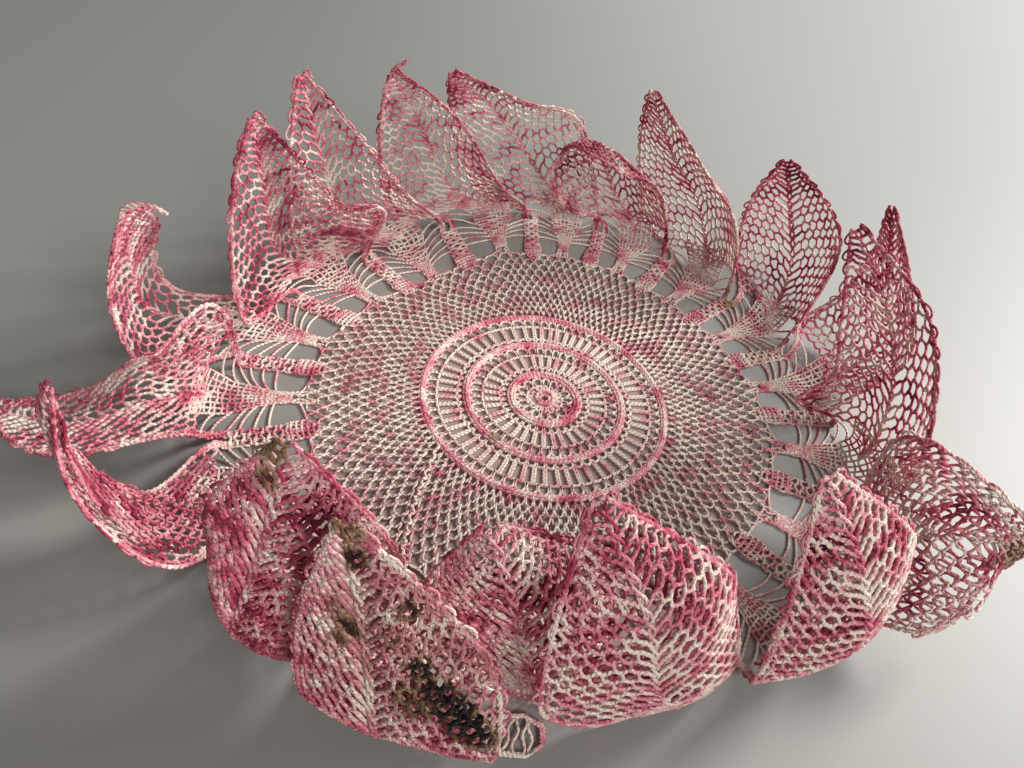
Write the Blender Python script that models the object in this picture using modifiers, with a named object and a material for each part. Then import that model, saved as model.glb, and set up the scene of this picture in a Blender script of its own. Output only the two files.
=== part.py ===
"""Crocheted lace doily, made in one piece.

A flat round middle lies on the table. Eighteen pointed leaves grow from its rim, run out a little way
over the table and then stand up round it as a stiffened ruffle. Units are metres, +Z is up, and the
origin is the centre of the flat middle's underside.
"""
import math
from collections import namedtuple

import bmesh
import bpy
from mathutils import Vector

MM = 0.001

# The flat middle. Radii are those of an even doily. The real one is pulled in or let out to the fan
# radius given for each leaf.
SHEET_THICKNESS = 1.6 * MM
MEDALLION_RADIUS = 43.0
NET_RADIUS = 82.0
FAN_RADIUS = 90.0
LEAF_BASE_RADIUS = 104.0

# Rounds of the openwork rim between the net and the leaves: outer radius of each, and if it has holes.
RimRound = namedtuple("RimRound", "outer_radius has_holes")
RIM_ROUNDS = (
    RimRound(88.5, True),
    RimRound(95.5, False),
    RimRound(102.5, True),
    RimRound(LEAF_BASE_RADIUS, False),
)
RIM_HOLE_STRIPS = (2, 4)

# Strips side by side across a leaf, from one margin (-1) over the midrib (0) to the other (1). A leaf's
# base takes up this share of its repeat, and the rest is the end of the column between two leaves.
BASE_SHARE = 0.92
STRIP_EDGES = (-1.0, -0.74, -0.53, -0.10, 0.10, 0.53, 0.74, 1.0)

# Rows up a leaf, as shares of its length. The last row runs to a point.
LeafRow = namedtuple("LeafRow", "end hole_strips")
LEAF_ROWS = (
    LeafRow(0.11, ()),
    LeafRow(0.22, ()),
    LeafRow(0.29, (1, 3, 5)),
    LeafRow(0.36, ()),
    LeafRow(0.43, (1, 3, 5)),
    LeafRow(0.50, ()),
    LeafRow(0.57, (1, 3, 5)),
    LeafRow(0.70, ()),
    LeafRow(0.85, ()),
)

# Where a leaf's base and its three upper cross sections lie along it. Its tip has this half width.
SECTION_SHARES = (0.0, 0.35, 0.70, 1.0)
TIP_HALF_WIDTH = 1.5
FOOT_PULL = 90.0
LOWEST_POINT = 0.2

# A lobe swells out of a leaf's low margin: how quickly it dies away towards the midrib.
LOBE_POWER = 2.5

# One row for each leaf. azimuth: middle of its base. fan: radius where its fan of threads starts.
# low, high, tip: midrib points, as reach from the centre, swing on from the azimuth, and rise.
# turns: how far the three sections are turned round the midrib. halves: half widths of the low section
# on the two sides, and of the high one. low_curls, high_curls: how far the two halves curl in. feet:
# slope of the base at one margin, the middle and the other margin. small_lobe, large_lobe: how far a
# ruffled lobe moves the low margin aside, inwards and up, and the share of the leaf where it ends.
# Lengths are in millimetres and angles in degrees.
EVEN_MARGIN = (0, 0, 0, 1.0)
Leaf = namedtuple("Leaf", "azimuth fan low high tip turns halves low_curls high_curls feet"
                  " small_lobe large_lobe", defaults=(EVEN_MARGIN, EVEN_MARGIN))
LEAVES = (
    Leaf(4, 91, (111, 1, 20), (104, 8, 47), (94, 24, 67),
         turns=(20, 45, 60), halves=(33, 20, 14, 17), low_curls=(45, 40), high_curls=(20, 20), feet=(60, 20, 60),
         large_lobe=(4, 11, -5, 0.55)),
    Leaf(24, 90, (132, 3, 10), (130, 7, 38), (126, 12, 62),
         turns=(-5, -10, -10), halves=(30, 26, 21, 15), low_curls=(60, 30), high_curls=(20, 0), feet=(85, 20, 60),
         large_lobe=(0, 9, 5, 0.55)),
    Leaf(43, 90, (134, 6, 10), (132, 11, 36), (120, 13, 58),
         turns=(-10, 15, 25), halves=(30, 26, 19, 17), low_curls=(60, 10), high_curls=(20, 20), feet=(85, 20, 5)),
    Leaf(61, 92, (122, 7, 20), (116, 16, 44), (110, 23, 68),
         turns=(-10, -20, -20), halves=(30, 29, 20, 19), low_curls=(80, 0), high_curls=(30, 0), feet=(85, 20, 5),
         small_lobe=(6, 6, 4, 0.55)),
    Leaf(79, 96, (118, 8, 20), (112, 14, 40), (98, 19, 45),
         turns=(0, 0, 0), halves=(26, 24, 22, 24), low_curls=(80, 70), high_curls=(80, 70), feet=(85, 30, 60),
         small_lobe=(4, 3, 3, 0.55)),
    Leaf(95, 97, (120, 10, 24), (113, 20, 50), (106, 31, 68),
         turns=(10, -5, -10), halves=(26, 26, 13, 19), low_curls=(0, 10), high_curls=(30, 10), feet=(20, 20, 5)),
    Leaf(112, 95, (104, 13, 22), (103, 21, 50), (98, 30, 74),
         turns=(-5, 0, 0), halves=(28, 24, 15, 19), low_curls=(80, 0), high_curls=(60, 10), feet=(60, 65, 60)),
    Leaf(137, 80, (102, 14, 20), (104, 20, 49), (107, 22, 77),
         turns=(-10, 0, 0), halves=(28, 24, 17, 14), low_curls=(80, -10), high_curls=(70, -10), feet=(85, 60, 40)),
    Leaf(158, 84, (104, 12, 20), (102, 17, 52), (99, 21, 80),
         turns=(-10, -10, -10), halves=(30, 28, 17, 15), low_curls=(80, 20), high_curls=(60, 0), feet=(85, 60, 85),
         small_lobe=(10, 4, 7, 0.55)),
    Leaf(180, 88, (129, 9, 16), (129, 13, 44), (122, 19, 69),
         turns=(0, -5, -5), halves=(13, 24, 15, 16), low_curls=(40, 10), high_curls=(20, 10), feet=(5, 10, 5),
         small_lobe=(-1, 0, -4, 0.5)),
    Leaf(199, 90, (120, 8, 16), (144, 9, 12), (168, 4, 8),
         turns=(-10, 10, 0), halves=(16, 12, 13, 13), low_curls=(90, 0), high_curls=(20, 10), feet=(90, 20, 5),
         small_lobe=(5, 2, 14, 0.36)),
    Leaf(219, 90, (128, 4, 12), (142, 1, 34), (138, 1, 57),
         turns=(0, 10, 10), halves=(6, 20, 10, 17), low_curls=(30, 10), high_curls=(0, 0), feet=(60, 10, 5)),
    Leaf(239, 90, (127, 5, 16), (120, 8, 54), (112, 8, 78),
         turns=(0, 20, 20), halves=(22, 24, 14, 29), low_curls=(70, 60), high_curls=(20, 30), feet=(80, 20, 80)),
    Leaf(259, 90, (127, 3, 13), (124, 1, 43), (118, -3, 75),
         turns=(5, 0, 0), halves=(18, 26, 17, 25), low_curls=(20, 10), high_curls=(10, 30), feet=(5, 10, 5)),
    Leaf(279, 90, (104, -4, 27), (101, -8, 47), (92, -12, 53),
         turns=(0, 0, 0), halves=(26, 24, 20, 20), low_curls=(50, 60), high_curls=(30, 50), feet=(85, 75, 80)),
    Leaf(299, 90, (111, -7, 22), (108, -12, 51), (95, -20, 73),
         turns=(0, 0, 0), halves=(27, 31, 21, 21), low_curls=(0, 70), high_curls=(10, 50), feet=(5, 20, 60)),
    Leaf(320, 90, (120, -2, 24), (114, -8, 55), (98, -14, 80),
         turns=(0, -10, -10), halves=(27, 26, 18, 18), low_curls=(40, 50), high_curls=(30, 30), feet=(20, 20, 60)),
    Leaf(342, 90, (122, -3, 34), (135, -1, 36), (145, 3, 29),
         turns=(60, 70, 60), halves=(32, 30, 12, 9), low_curls=(20, 40), high_curls=(10, 20), feet=(10, 20, 70),
         small_lobe=(0, 12, -4, 0.7)),
)
REPEATS = len(LEAVES)


def between_leaves(column, position):
    """A column of the leaf table, read in a straight line between neighbouring leaves."""
    turn, index = divmod(math.floor(position), REPEATS)
    share = position - math.floor(position)
    here = getattr(LEAVES[index], column)
    after = getattr(LEAVES[(index + 1) % REPEATS], column)
    if column == "azimuth":
        here += 360.0 * turn
        after += 360.0 * (turn + (index + 1) // REPEATS)
    return here + (after - here) * share


def polar(reach, azimuth, rise):
    """A point in millimetres from its reach, azimuth in degrees and rise."""
    angle = math.radians(azimuth)
    return Vector((reach * math.cos(angle), reach * math.sin(angle), rise))


def flat_point(radius, position):
    """A point of the flat middle from its even radius and its place in the round of leaves."""
    fan = between_leaves("fan", position)
    if radius > FAN_RADIUS:
        reach = fan + radius - FAN_RADIUS
    elif radius > MEDALLION_RADIUS:
        share = (radius - MEDALLION_RADIUS) / (FAN_RADIUS - MEDALLION_RADIUS)
        reach = MEDALLION_RADIUS + share * (fan - MEDALLION_RADIUS)
    else:
        reach = radius
    return polar(reach, between_leaves("azimuth", position), 0.0)


def section_point(centre, along, azimuth, turn, half_width, curls, across):
    """A point of a curled cross section, which keeps its width along the curl."""
    angle = math.radians(azimuth)
    along = along.normalized()
    side = Vector((-math.sin(angle), math.cos(angle), 0.0))
    side = (side - along * side.dot(along)).normalized()
    inward = along.cross(side)
    turned = math.radians(turn)
    side, inward = (side * math.cos(turned) + inward * math.sin(turned),
                    inward * math.cos(turned) - side * math.sin(turned))
    length = abs(across) * half_width
    bend = math.radians(curls[0] if across < 0 else curls[1]) / half_width
    if abs(bend) < 1e-6:
        return centre + side * math.copysign(length, across)
    offset = math.copysign(math.sin(bend * length) / bend, across)
    return centre + side * offset + inward * (1.0 - math.cos(bend * length)) / bend


def foot_direction(leaf, across, azimuth):
    """Which way the leaf sets off from the rim: outwards, sloping up by the foot angles."""
    small, middle, large = leaf.feet
    margin = small if across < 0 else large
    slope = math.radians(middle + (margin - middle) * across * across)
    return polar(math.cos(slope), azimuth, math.sin(slope)) * FOOT_PULL


def lobe_shift(leaf, share, across, point):
    """How far a ruffled lobe of the low margin moves a point of the leaf."""
    aside, inward, rise, end = leaf.small_lobe if across < 0 else leaf.large_lobe
    swell = math.sin(math.pi * min(share / end, 1.0)) ** 2 * abs(across) ** LOBE_POWER
    outward = Vector((point.x, point.y, 0.0)).normalized()
    sideways = Vector((-outward.y, outward.x, 0.0)) * math.copysign(1.0, across)
    return (sideways * aside - outward * inward + Vector((0.0, 0.0, rise))) * swell


def leaf_point(index, share, across):
    """A point of one leaf: share runs from base (0) to tip (1), across from -1 to 1."""
    leaf = LEAVES[index]
    position = index + across * BASE_SHARE / 2.0
    base = flat_point(LEAF_BASE_RADIUS, position)
    spine = [flat_point(LEAF_BASE_RADIUS, index)]
    for reach, swing, rise in (leaf.low, leaf.high, leaf.tip):
        spine.append(polar(reach, leaf.azimuth + swing, rise))
    start, low, high, end = SECTION_SHARES
    low_along = (spine[2] - spine[0]) / (high - start)
    high_along = (spine[3] - spine[1]) / (end - low)
    tip_along = (spine[3] - spine[2]) / (end - high) * 1.5 - high_along * 0.5
    rows = [
        base,
        section_point(spine[1], low_along, leaf.azimuth + leaf.low[1], leaf.turns[0],
                      leaf.halves[0 if across < 0 else 1], leaf.low_curls, across),
        section_point(spine[2], high_along, leaf.azimuth + leaf.high[1], leaf.turns[1],
                      leaf.halves[2 if across < 0 else 3], leaf.high_curls, across),
        section_point(spine[3], tip_along, leaf.azimuth + leaf.tip[1], leaf.turns[2],
                      TIP_HALF_WIDTH, (0.0, 0.0), across),
    ]
    pulls = [foot_direction(leaf, across, between_leaves("azimuth", position)),
             (rows[2] - rows[0]) / (high - start),
             (rows[3] - rows[1]) / (end - low)]
    pulls.append((rows[3] - rows[2]) / (end - high) * 1.5 - pulls[2] * 0.5)
    part = 0 if share < low else 1 if share < high else 2
    span = SECTION_SHARES[part + 1] - SECTION_SHARES[part]
    t = (share - SECTION_SHARES[part]) / span
    point = (rows[part] * (2 * t ** 3 - 3 * t ** 2 + 1) + rows[part + 1] * (3 * t ** 2 - 2 * t ** 3)
             + pulls[part] * span * (t ** 3 - 2 * t ** 2 + t) + pulls[part + 1] * span * (t ** 3 - t ** 2))
    point += lobe_shift(leaf, share, across, point)
    point.z = max(point.z, LOWEST_POINT * (1.0 if share > 0 else 0.0))
    return point


def clear_scene():
    for item in list(bpy.data.objects):
        bpy.data.objects.remove(item, do_unlink=True)


def cotton_material():
    material = bpy.data.materials.new("cotton_thread")
    material.use_nodes = True
    shader = material.node_tree.nodes["Principled BSDF"]
    shader.inputs["Base Color"].default_value = (0.66, 0.38, 0.40, 1.0)
    shader.inputs["Roughness"].default_value = 0.85
    shader.inputs["Metallic"].default_value = 0.0
    return material


def doily_surface():
    """The open sheet, faces up and inwards, with the large gaps of the lace left out."""
    mesh = bmesh.new()
    strips = len(STRIP_EDGES) - 1
    edges = len(STRIP_EDGES)
    places = [index + across * BASE_SHARE / 2.0 for index in range(REPEATS) for across in STRIP_EDGES]
    count = len(places)

    ring = [mesh.verts.new(flat_point(NET_RADIUS, place) * MM) for place in places]
    mesh.faces.new(ring)
    for rim_round in RIM_ROUNDS:
        outer = [mesh.verts.new(flat_point(rim_round.outer_radius, place) * MM) for place in places]
        for n in range(count):
            if rim_round.has_holes and n % edges in RIM_HOLE_STRIPS:
                continue
            after = (n + 1) % count
            mesh.faces.new((ring[n], outer[n], outer[after], ring[after]))
        ring = outer

    for index in range(REPEATS):
        row = ring[index * edges:(index + 1) * edges]
        for leaf_row in LEAF_ROWS:
            upper = [mesh.verts.new(leaf_point(index, leaf_row.end, across) * MM)
                     for across in STRIP_EDGES]
            for strip in range(strips):
                if strip not in leaf_row.hole_strips:
                    mesh.faces.new((row[strip], upper[strip], upper[strip + 1], row[strip + 1]))
            row = upper
        tip = mesh.verts.new(leaf_point(index, 1.0, 0.0) * MM)
        for strip in range(strips):
            mesh.faces.new((row[strip], tip, row[strip + 1]))

    data = bpy.data.meshes.new("doily")
    mesh.to_mesh(data)
    mesh.free()
    return data


def build():
    clear_scene()
    collection = bpy.data.collections.new("lace_doily")
    bpy.context.scene.collection.children.link(collection)
    doily = bpy.data.objects.new("doily", doily_surface())
    doily.data.materials.append(cotton_material())
    collection.objects.link(doily)
    sheet = doily.modifiers.new("sheet", "SOLIDIFY")
    sheet.thickness = SHEET_THICKNESS
    sheet.offset = 1.0
    doily.data.shade_smooth()


build()
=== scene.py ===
import math
from collections import namedtuple

import bpy
import numpy as np
from mathutils import Matrix, Vector


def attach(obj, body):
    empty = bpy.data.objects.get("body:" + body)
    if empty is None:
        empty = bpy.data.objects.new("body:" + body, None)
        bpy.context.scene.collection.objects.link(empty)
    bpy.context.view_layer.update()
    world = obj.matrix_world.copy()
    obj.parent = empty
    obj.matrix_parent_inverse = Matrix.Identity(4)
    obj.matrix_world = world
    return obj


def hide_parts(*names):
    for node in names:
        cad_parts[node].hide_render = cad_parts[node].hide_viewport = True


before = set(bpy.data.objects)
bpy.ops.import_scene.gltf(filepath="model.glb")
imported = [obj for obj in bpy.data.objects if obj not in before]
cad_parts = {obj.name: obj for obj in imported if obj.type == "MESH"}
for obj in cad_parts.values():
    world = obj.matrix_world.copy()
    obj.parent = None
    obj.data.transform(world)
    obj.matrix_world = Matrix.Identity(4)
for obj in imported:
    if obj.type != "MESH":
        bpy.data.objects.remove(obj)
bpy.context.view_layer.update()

MM = 0.001

# Camera, light and table. The photo looks down at the doily from about 45 degrees above the front
# edge of a pale table, in soft daylight from the back and the right. The table's colour holds painted
# light: darker away from the window, paler towards it, and a pinkish painted shade where it shows through the net
# and under the front leaves.
CAMERA_PLACE = (0.0, -0.1864, 0.1898)
CAMERA_AXES = (Vector((0.968388, 0.204495, 0.142851)), Vector((-0.245297, 0.676612, 0.694281)),
               Vector((0.045322, -0.707374, 0.705385)))
camera_data = bpy.data.cameras.new("camera")
camera_data.lens = 27.04
camera_data.sensor_width = 36.0
camera = bpy.data.objects.new("camera", camera_data)
camera.matrix_world = Matrix.Translation(CAMERA_PLACE) @ Matrix(CAMERA_AXES).transposed().to_4x4()
bpy.context.scene.collection.objects.link(camera)
bpy.context.scene.camera = camera

Lamp = namedtuple("Lamp", "name place size power colour")
LAMPS = (Lamp("window_light", (1.05, 0.80, 0.85), 0.5, 36.0, (1.0, 0.985, 0.96)),
         Lamp("front_fill", (0.75, -0.85, 0.85), 0.5, 13.0, (1.0, 0.98, 0.96)))
for lamp in LAMPS:
    lamp_data = bpy.data.lights.new(lamp.name, "AREA")
    lamp_data.size = lamp.size
    lamp_data.energy = lamp.power
    lamp_data.color = lamp.colour
    light = bpy.data.objects.new(lamp.name, lamp_data)
    light.location = lamp.place
    light.rotation_euler = (-Vector(lamp.place)).to_track_quat("-Z", "Y").to_euler()
    bpy.context.scene.collection.objects.link(light)
room = bpy.data.worlds.new("room")
room.use_nodes = True
room_light = room.node_tree.nodes["Background"]
room_light.inputs["Color"].default_value = (0.88, 0.87, 0.86, 1.0)
room_light.inputs["Strength"].default_value = 0.24
bpy.context.scene.world = room
bpy.context.scene.view_settings.view_transform = "Standard"


class Value:
    """A shader socket that takes part in sums."""

    def __init__(self, tree, socket):
        self.tree, self.socket = tree, socket

    def node(self, kind, settings=(), out=0, **sockets):
        """Any node: its settings first, then values or links of its sockets, by name or as s0, s1 and so on."""
        made = self.tree.nodes.new(kind)
        for key, value in dict(settings).items():
            if key == "stops":
                ramp = made.color_ramp
                while len(ramp.elements) < len(value):
                    ramp.elements.new(0.5)
                for element, (place, colour) in zip(ramp.elements, value):
                    element.position, element.color = place, (*colour, 1.0)
            else:
                setattr(made, key, value)
        for key, value in sockets.items():
            plug = made.inputs[int(key[1:])] if key[0] == "s" and key[1:].isdigit() else made.inputs[key]
            if isinstance(value, Value):
                self.tree.links.new(value.socket, plug)
            else:
                plug.default_value = value
        return Value(self.tree, made.outputs[out])

    def maths(self, operation, other=0.0, flip=False):
        pair = (other, self) if flip else (self, other)
        return self.node("ShaderNodeMath", {"operation": operation}, s0=pair[0], s1=pair[1])

    def __add__(self, other):
        return self.maths("ADD", other)

    def __sub__(self, other):
        return self.maths("SUBTRACT", other)

    def __rsub__(self, other):
        return self.maths("SUBTRACT", other, flip=True)

    def __mul__(self, other):
        return self.maths("MULTIPLY", other)

    def __truediv__(self, other):
        return self.maths("DIVIDE", other)

    __radd__, __rmul__ = __add__, __mul__

    def between(self, low, high):
        """0 at low, 1 at high, smooth between."""
        return self.node("ShaderNodeMapRange", {"interpolation_type": "SMOOTHSTEP"}, s0=self, s1=low, s2=high)

    def mixed(self, colour, other):
        """colour where this is 0, other where it is 1."""
        ends = [end if isinstance(end, Value) else (*end, 1.0) for end in (colour, other)]
        return self.node("ShaderNodeMix", {"data_type": "RGBA"}, out=2, s0=self, s6=ends[0], s7=ends[1])


TABLE_SIZE = 16.0
# The table's colour is painted light and shade: darker away from the window, paler towards it.
TABLE_PAINTED_SHADE, TABLE_PAINTED_LIGHT = (0.224, 0.221, 0.205), (0.33, 0.33, 0.315)
TOWARD_WINDOW = (0.93, 0.37, 0.0)
PAINTED_SHADE_BEFORE, PAINTED_LIGHT_PAST = -0.12, 0.24
# Painted shade, pinkish like light bounced off the thread, where the table shows through the net and under the
# front leaves.
PAINTED_SHADE_UNDER_NET = (0.31, 0.23, 0.212)
Patch = namedtuple("Patch", "middle radius")
PAINTED_SHADE_PATCHES = (Patch((0.0, 0.0, 0.0), 0.081), Patch((0.0, -0.042, 0.0), 0.068))
PATCH_EDGE = 0.008
bpy.ops.object.select_all(action="DESELECT")
bpy.ops.mesh.primitive_plane_add(size=TABLE_SIZE)
table = bpy.context.object
table.name = "table"
table_painted_light = bpy.data.materials.new("table_painted_light")
table_painted_light.use_nodes = True
paint = table_painted_light.node_tree.nodes["Principled BSDF"]
maker = Value(table_painted_light.node_tree, None)
spot = maker.node("ShaderNodeTexCoord", out=3)
spot = spot.node("ShaderNodeVectorMath", {"operation": "MULTIPLY"}, s0=spot, s1=(1.0, 1.0, 0.0))
# Painted window light: how far towards the window a place on the table lies sets how pale it is painted.
painted_light_share = spot.node("ShaderNodeVectorMath", {"operation": "DOT_PRODUCT"}, out=1, s0=spot, s1=TOWARD_WINDOW)
colour = painted_light_share.between(PAINTED_SHADE_BEFORE, PAINTED_LIGHT_PAST).mixed(TABLE_PAINTED_SHADE, TABLE_PAINTED_LIGHT)
# Painted shade: the table is painted dark and pinkish within each patch under the net and the front leaves.
for patch in PAINTED_SHADE_PATCHES:
    away = spot.node("ShaderNodeVectorMath", {"operation": "DISTANCE"}, out=1, s0=spot, s1=patch.middle)
    colour = away.between(patch.radius, patch.radius - PATCH_EDGE).mixed(colour, PAINTED_SHADE_UNDER_NET)
table_painted_light.node_tree.links.new(colour.socket, paint.inputs["Base Color"])
paint.inputs["Roughness"].default_value = 0.55
table.data.materials.append(table_painted_light)


# Medallion. The flat round centre of the doily, crocheted in rounds of cotton thread: raised cord
# bands, rounds of loops and rounds of long stitches. It lies on the table, and the net grows from it.
# All of the doily is laid out from one table of its leaves: where each stands and how it bends.
# For each leaf: its azimuth, and how far out its part of the rim reaches; reach in mm, swing in degrees
# and rise in mm of its midrib low down, high up and at the tip; the turn of the cross section at each; half
# widths of its small and large side, low then high; how far both sides curl there, in degrees; how steeply
# its foot rises at one edge, the middle and the other; and how far a margin swells out, in, up and how long.
EVEN_MARGIN = (0, 0, 0, 1.0)
Leaf = namedtuple("Leaf", "azimuth fan low high tip turns halves low_curls high_curls feet"
                  " small_lobe large_lobe", defaults=(EVEN_MARGIN, EVEN_MARGIN))
LEAVES = (
    Leaf(4, 91, (111, 1, 20), (104, 8, 47), (94, 24, 67), turns=(20, 45, 60), halves=(33, 20, 14, 17),
         low_curls=(45, 40), high_curls=(20, 20), feet=(60, 20, 60), large_lobe=(4, 11, -5, 0.55)),
    Leaf(24, 90, (132, 3, 10), (130, 7, 38), (126, 12, 62), turns=(-5, -10, -10), halves=(30, 26, 21, 15),
         low_curls=(60, 30), high_curls=(20, 0), feet=(85, 20, 60), large_lobe=(0, 9, 5, 0.55)),
    Leaf(43, 90, (134, 6, 10), (132, 11, 36), (120, 13, 58), turns=(-10, 15, 25), halves=(30, 26, 19, 17),
         low_curls=(60, 10), high_curls=(20, 20), feet=(85, 20, 5)),
    Leaf(61, 92, (122, 7, 20), (116, 16, 44), (110, 23, 68), turns=(-10, -20, -20), halves=(30, 29, 20, 19),
         low_curls=(80, 0), high_curls=(30, 0), feet=(85, 20, 5), small_lobe=(6, 6, 4, 0.55)),
    Leaf(79, 96, (118, 8, 20), (112, 14, 40), (98, 19, 45), turns=(0, 0, 0), halves=(26, 24, 22, 24),
         low_curls=(80, 70), high_curls=(80, 70), feet=(85, 30, 60), small_lobe=(4, 3, 3, 0.55)),
    Leaf(95, 97, (120, 10, 24), (113, 20, 50), (106, 31, 68), turns=(10, -5, -10), halves=(26, 26, 13, 19),
         low_curls=(0, 10), high_curls=(30, 10), feet=(20, 20, 5)),
    Leaf(112, 95, (104, 13, 22), (103, 21, 50), (98, 30, 74), turns=(-5, 0, 0), halves=(28, 24, 15, 19),
         low_curls=(80, 0), high_curls=(60, 10), feet=(60, 65, 60)),
    Leaf(137, 80, (102, 14, 20), (104, 20, 49), (107, 22, 77), turns=(-10, 0, 0), halves=(28, 24, 17, 14),
         low_curls=(80, -10), high_curls=(70, -10), feet=(85, 60, 40)),
    Leaf(158, 84, (104, 12, 20), (102, 17, 52), (99, 21, 80), turns=(-10, -10, -10), halves=(30, 28, 17, 15),
         low_curls=(80, 20), high_curls=(60, 0), feet=(85, 60, 85), small_lobe=(10, 4, 7, 0.55)),
    Leaf(180, 88, (129, 9, 16), (129, 13, 44), (122, 19, 69), turns=(0, -5, -5), halves=(13, 24, 15, 16),
         low_curls=(40, 10), high_curls=(20, 10), feet=(5, 10, 5), small_lobe=(-1, 0, -4, 0.5)),
    Leaf(199, 90, (120, 8, 16), (144, 9, 12), (168, 4, 8), turns=(-10, 10, 0), halves=(16, 12, 13, 13),
         low_curls=(90, 0), high_curls=(20, 10), feet=(90, 20, 5), small_lobe=(5, 2, 14, 0.36)),
    Leaf(219, 90, (128, 4, 12), (142, 1, 34), (138, 1, 57), turns=(0, 10, 10), halves=(6, 20, 10, 17),
         low_curls=(30, 10), high_curls=(0, 0), feet=(60, 10, 5)),
    Leaf(239, 90, (127, 5, 16), (120, 8, 54), (112, 8, 78), turns=(0, 20, 20), halves=(22, 24, 14, 29),
         low_curls=(70, 60), high_curls=(20, 30), feet=(80, 20, 80)),
    Leaf(259, 90, (127, 3, 13), (124, 1, 43), (118, -3, 75), turns=(5, 0, 0), halves=(18, 26, 17, 25),
         low_curls=(20, 10), high_curls=(10, 30), feet=(5, 10, 5)),
    Leaf(279, 90, (104, -4, 27), (101, -8, 47), (92, -12, 53), turns=(0, 0, 0), halves=(26, 24, 20, 20),
         low_curls=(50, 60), high_curls=(30, 50), feet=(85, 75, 80)),
    Leaf(299, 90, (111, -7, 22), (108, -12, 51), (95, -20, 73), turns=(0, 0, 0), halves=(27, 31, 21, 21),
         low_curls=(0, 70), high_curls=(10, 50), feet=(5, 20, 60)),
    Leaf(320, 90, (120, -2, 24), (114, -8, 55), (98, -14, 80), turns=(0, -10, -10), halves=(27, 26, 18, 18),
         low_curls=(40, 50), high_curls=(30, 30), feet=(20, 20, 60)),
    Leaf(342, 90, (122, -3, 34), (135, -1, 36), (145, 3, 29), turns=(60, 70, 60), halves=(32, 30, 12, 9),
         low_curls=(20, 40), high_curls=(10, 20), feet=(10, 20, 70), small_lobe=(0, 12, -4, 0.7)),
)
REPEATS = len(LEAVES)
MEDALLION_RADIUS = 43.0
FAN_RADIUS = 90.0
DYE_REPEAT = 20.0
FREE_UP = (0.02, 0.03, 1.0)
ON_TABLE = 0.9
places = np.arange(-2, REPEATS + 3)
azimuths = np.array([LEAVES[n % REPEATS].azimuth + 360 * (n // REPEATS) for n in places], float)
fans = np.array([LEAVES[n % REPEATS].fan for n in places], float)


def flat_point(radius, position):
    """Points of the flat middle, in millimetres, from even radius and place in the round of leaves."""
    fan = np.interp(position, places, fans)
    share = (radius - MEDALLION_RADIUS) / (FAN_RADIUS - MEDALLION_RADIUS)
    reach = np.where(radius > FAN_RADIUS, fan + radius - FAN_RADIUS,
                     np.where(radius > MEDALLION_RADIUS,
                              MEDALLION_RADIUS + share * (fan - MEDALLION_RADIUS), radius))
    angle = np.radians(np.interp(position, places, azimuths))
    return np.stack([reach * np.cos(angle), reach * np.sin(angle), 0.0 * reach], 1)


def flat_surface(radius, position):
    """Points of the flat middle and the way that is up there."""
    points = flat_point(radius, position)
    return points, np.broadcast_to((0.0, 0.0, 1.0), points.shape)


def unit(vectors):
    return vectors / np.maximum(np.linalg.norm(vectors, axis=-1, keepdims=True), 1e-9)


def stitch(start, end, rise=0.0, sway=0.0, scale=1.0, step=0.9):
    """Places along one stitch between two places. It bulges by rise outwards and by sway sideways."""
    start, end = np.asarray(start, float), np.asarray(end, float)
    length = math.hypot(end[0] - start[0], (end[1] - start[1]) * scale) + abs(rise) + abs(sway)
    t = np.linspace(0.0, 1.0, max(2, int(math.ceil(length / step)) + 1))
    swell = 4.0 * t * (1.0 - t)
    return np.stack([start[0] + (end[0] - start[0]) * t + rise * swell,
                     start[1] + (end[1] - start[1]) * t + sway / scale * swell], 1)


def flecks(along, row, seed=0.0):
    """How dark the dye is along a row of stitches, from about -0.4 for undyed cotton to 1. The colours come
    round every few centimetres, each row starts elsewhere in them, and they pool in small patches."""
    phase = along / DYE_REPEAT + 0.21 * row + 0.40 * np.sin(0.8 * row + seed) + 0.37 * seed
    wave = (np.sin(2 * math.pi * phase) + 0.7 * np.sin(2 * math.pi * (0.37 * phase + 0.13 * row + seed))
            + 0.5 * np.sin(2 * math.pi * 1.9 * phase + 2.0 * seed)) / 2.2
    return 1.4 * (0.5 + 0.5 * wave) ** 1.8 - 0.4


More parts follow.
